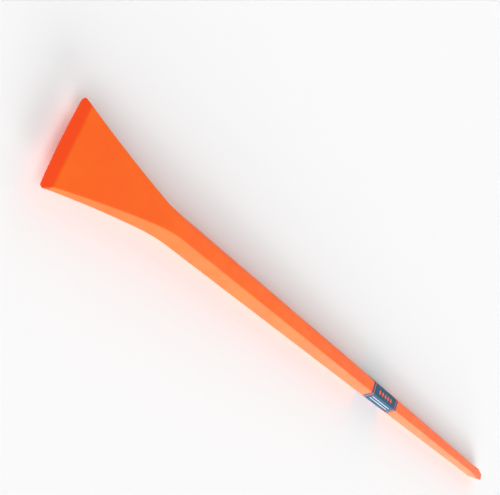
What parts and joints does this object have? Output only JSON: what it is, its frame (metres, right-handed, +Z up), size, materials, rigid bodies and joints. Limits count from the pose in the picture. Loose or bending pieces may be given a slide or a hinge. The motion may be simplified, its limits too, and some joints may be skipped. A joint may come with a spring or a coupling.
{
  "type": "digging bar",
  "caption": "Painted hexagonal steel bar for digging and prying, forged into a flared chisel at its front end and a tapered square point at its rear end, with a wrapped label.",
  "frame": {"origin": "on the surface that the bar lies on, under the middle of its length and width", "axes": "+X along the bar from the chisel to the point, +Z up from the flat that it lies on, square to the chisel's broad face"},
  "size_m": [1.75, 0.0818, 0.0302],
  "materials": {
    "orange_paint": "satin orange paint on forged steel, new and unworn",
    "label_film": "satin dark blue printed film"
  },
  "bodies": {
    "root": {"forged_bar": "orange_paint", "label": "label_film"}
  },
  "joints": []
}
